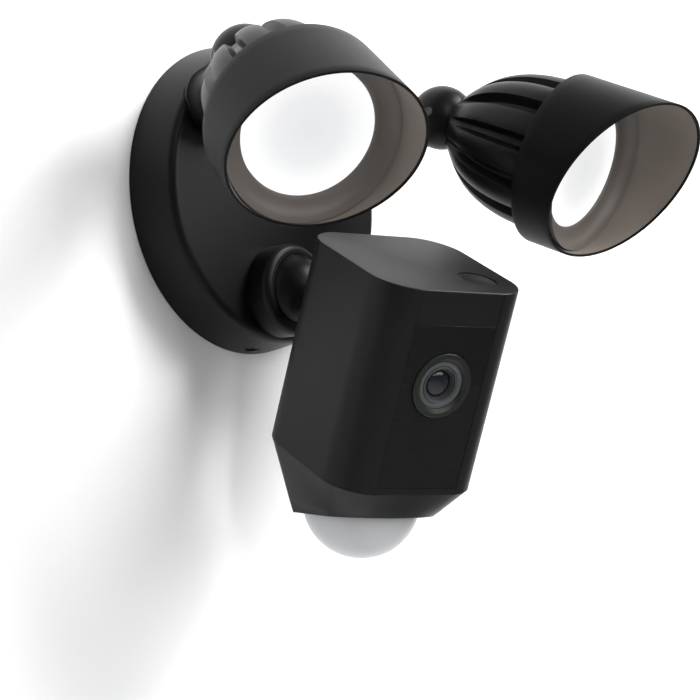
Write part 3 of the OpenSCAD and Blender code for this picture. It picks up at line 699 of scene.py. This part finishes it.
def camera_shell():
    """Rounded-square shell with a softly broken top edge, a front recess and a button hole."""
    bm = bmesh.new()
    turns = [math.radians(turn) for turn in EDGE_TURNS]
    levels = [(EDGE_R * (1 - math.sin(a)), -EDGE_R * (1 - math.cos(a))) for a in turns]
    levels += [(0, -z) for z in (STRIP_H, 28, LENS_DOWN, 55, 70, FRONT_END, BODY_H)]
    rings = [flat_ring(plan(less), z) for less, z in levels]
    made = loft(bm, rings)
    walls = made[len(EDGE_TURNS) - 1:]
    doomed = []
    for lower, upper in zip(walls, walls[1:]):
        if upper[0].co.z < -FRONT_END - 0.01:
            continue
        for i in range(FRONT_STEPS):
            for face in lower[i].link_faces:
                if lower[i + 1] in face.verts and upper[i] in face.verts:
                    doomed.append(face)
    bmesh.ops.delete(bm, geom=list(set(doomed)), context="FACES_ONLY")
    left, right = -FRONT_HALF, FRONT_HALF
    top, low = walls[0][0].co.z, -FRONT_END
    deep_y = PANEL_T + 1.5
    corners = [(left, top), (right, top), (right, low), (left, low)]
    for (ax, az), (bx, bz) in zip(corners, corners[1:] + corners[:1]):
        quad = [(ax, 0, az), (bx, 0, bz), (bx, deep_y, bz), (ax, deep_y, az)]
        bm.faces.new([bm.verts.new(point) for point in quad])
    hole, deep = [
        [bm.verts.new(point) for point in ring_points(BUTTON_R + 0.3, z, 48, BUTTON_AT)]
        for z in (0, -2.4)
    ]
    band(bm, hole, deep)
    fill_ring(bm, made[0], hole)
    return finish_mesh("body_shell", bm, CAMERA, "camera", "body_plastic", sharp=24,
                       stands_for=["camera_housing"])


def lower_shell():
    """Tapered end between the shoulder and the slanted round bottom, with the dome's seat."""
    bm = bmesh.new()
    shoulder = plan(0.0, corner=18)
    groove = plan(0.35, corner=18)
    high = flat_ring(shoulder, -BODY_H - 0.15)
    low = bottom_ring(shoulder, BOTTOM_R)
    rings = [flat_ring(groove, -BODY_H + 0.1), high]
    for share in (0.2, 0.4, 0.6, 0.8):
        rings.append([
            tuple(a + (b - a) * share for a, b in zip(above, below))
            for above, below in zip(high, low)
        ])
    rings.append(bottom_ring(shoulder, BOTTOM_R, 0.4))
    rings.append(bottom_ring(shoulder, BOTTOM_R - 0.15, 0.12))
    rings.append(bottom_ring(shoulder, BOTTOM_R - 0.5))
    made = loft(bm, rings)
    seat = [bm.verts.new(point) for point in bottom_hole(0.0)]
    deep = [bm.verts.new(point) for point in bottom_hole(3.0)]
    band(bm, seat, deep)
    fill_ring(bm, made[-1], seat)
    return finish_mesh("lower_shell", bm, CAMERA, "camera", "body_plastic", sharp=20,
                       stands_for=["lower_cover"])


def bottom_place():
    """Frame of the slanted bottom: origin under the dome, +Z out of the bottom."""
    spot = Matrix.Translation((
        0, DOME_BACK * MM, -(BODY_H + TAPER + DOME_BACK * BOTTOM_SLOPE) * MM
    ))
    return CAMERA @ spot @ Matrix.Rotation(math.radians(180 - BOTTOM_TILT), 4, "X")


def bottom_hole(sink, steps=64):
    """Round hole for the dome in the slanted bottom, sunk into it by this much."""
    radius = math.sqrt(DOME_R ** 2 - DOME_SUNK ** 2) + 0.15
    tilt = math.radians(BOTTOM_TILT)
    out = []
    for i in range(steps):
        a = math.tau * i / steps
        across = radius * math.sin(a)
        y = DOME_BACK + across * math.cos(tilt)
        out.append((radius * math.cos(a), y, -BODY_H - TAPER - BOTTOM_SLOPE * y + sink))
    return out


def sensor_dome():
    """Hollow dome, a cap of a sphere with a short rim that goes into its hole."""
    wall = 1.6
    base = math.sqrt(DOME_R ** 2 - DOME_SUNK ** 2)
    low = math.degrees(math.asin(DOME_SUNK / DOME_R))
    outline = arc(0, -DOME_SUNK, DOME_R, low, 90, 28)
    outline[-1] = (0, outline[-1][1])
    inside = arc(0, -DOME_SUNK, DOME_R - wall, 90, low + 2, 24)
    inside[0] = (0, inside[0][1])
    profile = [(base, -2.2)] + outline + inside + [(base - 2.0, -2.2)]
    turned("sensor_dome", profile, bottom_place(), "camera", "dome_milk", steps=128,
           stands_for=["motion_dome"])


def front_panel(name, top, low, look, node, bite_at=None):
    """Flat panel with softly broken edges, from top down to low below the camera's top.

    bite_at cuts a half round for the bezel out of its low or top end.
    """
    bm = bmesh.new()
    seam = 0.12
    half = FRONT_HALF - seam
    top, low = -top - seam / 2, -low + seam / 2
    bite = BEZEL_R + 0.25
    outline = [(-half, low)]
    if bite_at == "low":
        outline += arc(0, low, bite, 180, 0, 40)
    outline += [(half, low), (half, top)]
    if bite_at == "top":
        outline += arc(0, top, bite, 0, -180, 40)
    outline.append((-half, top))
    front = [bm.verts.new((x, 0.05, z)) for x, z in outline]
    bm.faces.new(front)
    back = [bm.verts.new((x, PANEL_T, z)) for x, z in outline]
    band(bm, front, back)
    bm.faces.new(list(reversed(back)))
    piece = finish_mesh(name, bm, CAMERA, "camera", look, sharp=20, stands_for=[node])
    bevel = piece.modifiers.new("edges", "BEVEL")
    bevel.width = 0.12 * MM
    bevel.segments = 2
    bevel.limit_method = "ANGLE"
    bevel.angle_limit = math.radians(40)
    return piece


def lens_place():
    """Frame of the lens: origin on the front face, +Z out of it."""
    spot = Matrix.Translation((0, 0, -LENS_DOWN * MM))
    return CAMERA @ spot @ Matrix.Rotation(math.radians(90), 4, "X")


def lens_stack():
    """Bezel, light ring, stepped barrel and the domed lens."""
    place = lens_place()
    bezel = rounded([
        (BEZEL_BORE, -PANEL_T, 0), (BEZEL_R, -PANEL_T, 0), (BEZEL_R, 0.5, 0.35),
        (BEZEL_BORE + 1.6, 0.5, 0.3), (BEZEL_BORE + 0.6, -0.1, 0.3), (BEZEL_BORE, -0.5, 0.1),
    ], steps=4)
    turned("bezel", bezel, place, "camera", "bezel_satin", stands_for=["lens_bezel"], steps=128)
    ring = rounded([
        (RING_BORE, -PANEL_T, 0), (BEZEL_BORE - 0.05, -PANEL_T, 0),
        (BEZEL_BORE - 0.05, -0.55, 0.3), (RING_BORE, -1.0, 0.3),
    ], steps=3)
    turned("light_ring_lens", ring, place, "camera", "light_guide", stands_for=["light_ring"])
    barrel_end = -15.0
    barrel = [(BARREL_R, barrel_end), (BARREL_R, -0.9), (7.4, -0.75), (7.0, -0.9), (6.7, -1.7),
              (6.3, -1.7), (6.0, -2.5), (5.7, -2.5), (5.5, -3.4), (0, -3.4), (0, barrel_end)]
    turned("barrel", barrel, place, "camera", "chips", stands_for=["lens_barrel"])
    dome = [
        (GLASS_R * math.cos(math.radians(a)), -3.0 + 1.7 * math.sin(math.radians(a)))
        for a in range(0, 90, 6)
    ]
    cap = [(0, -3.2), (GLASS_R, -3.2)] + dome + [(0, -1.3)]
    turned("front_element", cap, place, "camera", "optic", stands_for=["lens_glass"])


def button_cap():
    """Round button with a dished top and a soft edge."""
    place = CAMERA @ Matrix.Translation((BUTTON_AT[0] * MM, BUTTON_AT[1] * MM, 0))
    dish_r = 7.5
    dish_top = -0.22
    dish_depth = 0.95
    top = [(7.95, -2.2), (7.95, -0.5), (7.8, -0.3), (dish_r, dish_top)]
    for i in range(1, 13):
        share = i / 12
        top.append((dish_r * (1 - share), dish_top - dish_depth * (1 - (1 - share) ** 2)))
    turned("button_cap", top + [(0, -2.2)], place, "button", "body_plastic",
           stands_for=["setup_button"], sharp=40)


camera_shell()
lower_shell()
sensor_dome()
front_panel("plain_strip", 0.45, STRIP_H, "body_plastic", "front_strip")
front_panel("window", STRIP_H, LENS_DOWN, "front_gloss", "front_glass", "low")
front_panel("grille", LENS_DOWN, FRONT_END, "grille_plastic", "speaker_grille", "top")
lens_stack()
button_cap()


# ---- Stage, lights and camera ------------------------------------------------


def sheet_of(name, corners, material, hole=None):
    """Flat stage sheet, with a hole where one is given as a loop of points."""
    bm = bmesh.new()
    outer = [bm.verts.new(point) for point in corners]
    if hole:
        fill_ring(bm, outer, [bm.verts.new(point) for point in hole])
    else:
        bm.faces.new(outer)
    mesh = bpy.data.meshes.new(name)
    bm.to_mesh(mesh)
    bm.free()
    if mesh.polygons[0].normal.y > 0.5:
        mesh.flip_normals()
    made = bpy.data.objects.new(name, mesh)
    scene.collection.objects.link(made)
    mesh.materials.append(material)
    return made


def pale(name, one_sided):
    """Matte white stage paint. A one-sided sheet is clear from behind, for the views from there."""
    made = Nodes(name)
    patches = made.noise(made.coords(), 3.0)
    tone = made.ramp(patches, [(0.3, (0.86, 0.86, 0.86)), (0.7, (0.88, 0.88, 0.88))])
    made.link(tone, made.bsdf.inputs["Base Color"])
    made.bsdf.inputs["Roughness"].default_value = 0.9
    made.bsdf.inputs["Specular IOR Level"].default_value = 0.1
    if one_sided:
        facing = made.add("ShaderNodeNewGeometry")
        clear = made.add("ShaderNodeBsdfTransparent")
        either = made.add("ShaderNodeMixShader")
        made.link(facing.outputs["Backfacing"], either.inputs[0])
        made.link(made.bsdf.outputs["BSDF"], either.inputs[1])
        made.link(clear.outputs["BSDF"], either.inputs[2])
        made.link(either.outputs["Shader"], made.tree.nodes["Material Output"].inputs["Surface"])
    return made.material


# Metres, in the object's frame. The wall stands just behind the canopy's rim, and its hole
# is hidden by the canopy, so that light reaches the back of the plate.
WALL_HALF = 2.5
WALL_Y = 0.0004
BOX_HOLE_R = 0.0675
FLOOR_HALF = 6
FLOOR_Z = -1.8
sheet_of(
    "wall",
    [(-WALL_HALF, WALL_Y, FLOOR_Z), (WALL_HALF, WALL_Y, FLOOR_Z),
     (WALL_HALF, WALL_Y, WALL_HALF), (-WALL_HALF, WALL_Y, WALL_HALF)],
    pale("wall_paint", one_sided=True),
    [(x, WALL_Y, z) for x, z, _ in ring_points(BOX_HOLE_R, 0, 96)],
)
sheet_of(
    "floor",
    [(-FLOOR_HALF, -FLOOR_HALF, FLOOR_Z), (FLOOR_HALF, -FLOOR_HALF, FLOOR_Z),
     (FLOOR_HALF, FLOOR_HALF, FLOOR_Z), (-FLOOR_HALF, FLOOR_HALF, FLOOR_Z)],
    pale("floor_paint", one_sided=False),
)

# The world looks brighter to the camera than it lights the object
WORLD_LIGHT = 0.22
WORLD_SHOWN = 0.9
world = bpy.data.worlds.new("studio")
scene.world = world
world.use_nodes = True
sky = world.node_tree
background = sky.nodes["Background"]
background.inputs["Color"].default_value = (0.93, 0.94, 0.95, 1)
path = sky.nodes.new("ShaderNodeLightPath")
level = sky.nodes.new("ShaderNodeMapRange")
level.inputs["To Min"].default_value = WORLD_LIGHT
level.inputs["To Max"].default_value = WORLD_SHOWN
sky.links.new(path.outputs["Is Camera Ray"], level.inputs["Value"])
sky.links.new(level.outputs["Result"], background.inputs["Strength"])


def area_light(name, location, target, size, power):
    """White rectangular light aimed at a point. size is metres and power watts."""
    data = bpy.data.lights.new(name, "AREA")
    data.shape = "RECTANGLE"
    data.size, data.size_y = size
    data.energy = power
    made = bpy.data.objects.new(name, data)
    scene.collection.objects.link(made)
    made.location = location
    direction = Vector(target) - Vector(location)
    made.rotation_euler = direction.to_track_quat("-Z", "Y").to_euler()


area_light("key", (0.8, -1.15, 1.1), (0, -0.05, 0), (0.9, 0.9), 52)
area_light("fill", (0.2, -2.3, 0.3), (0, -0.05, -0.05), (1.6, 1.4), 26)
area_light("behind", (0.5, 1.7, 1.1), (0, 0, 0), (1.4, 1.4), 34)
area_light("edge", (-1.1, -1.9, 0.7), (0, -0.12, -0.12), (0.16, 1.4), 14)

# The photo's view: eye in metres, yaw from +Y towards +X and pitch upward in degrees
EYE = (-0.71695, -0.67954, -0.20991)
YAW = 49.36
PITCH = 8.21
LENS_MM = 115.7
camera_data = bpy.data.cameras.new("photo_view")
camera_data.sensor_width = 36.0
camera_data.lens = LENS_MM
camera_data.clip_start = 0.01
viewer = bpy.data.objects.new("photo_view", camera_data)
scene.collection.objects.link(viewer)
viewer.location = EYE
viewer.rotation_euler = (math.radians(90 + PITCH), 0, math.radians(-YAW))
scene.camera = viewer
scene.view_settings.view_transform = "Standard"
scene.view_settings.look = "None"
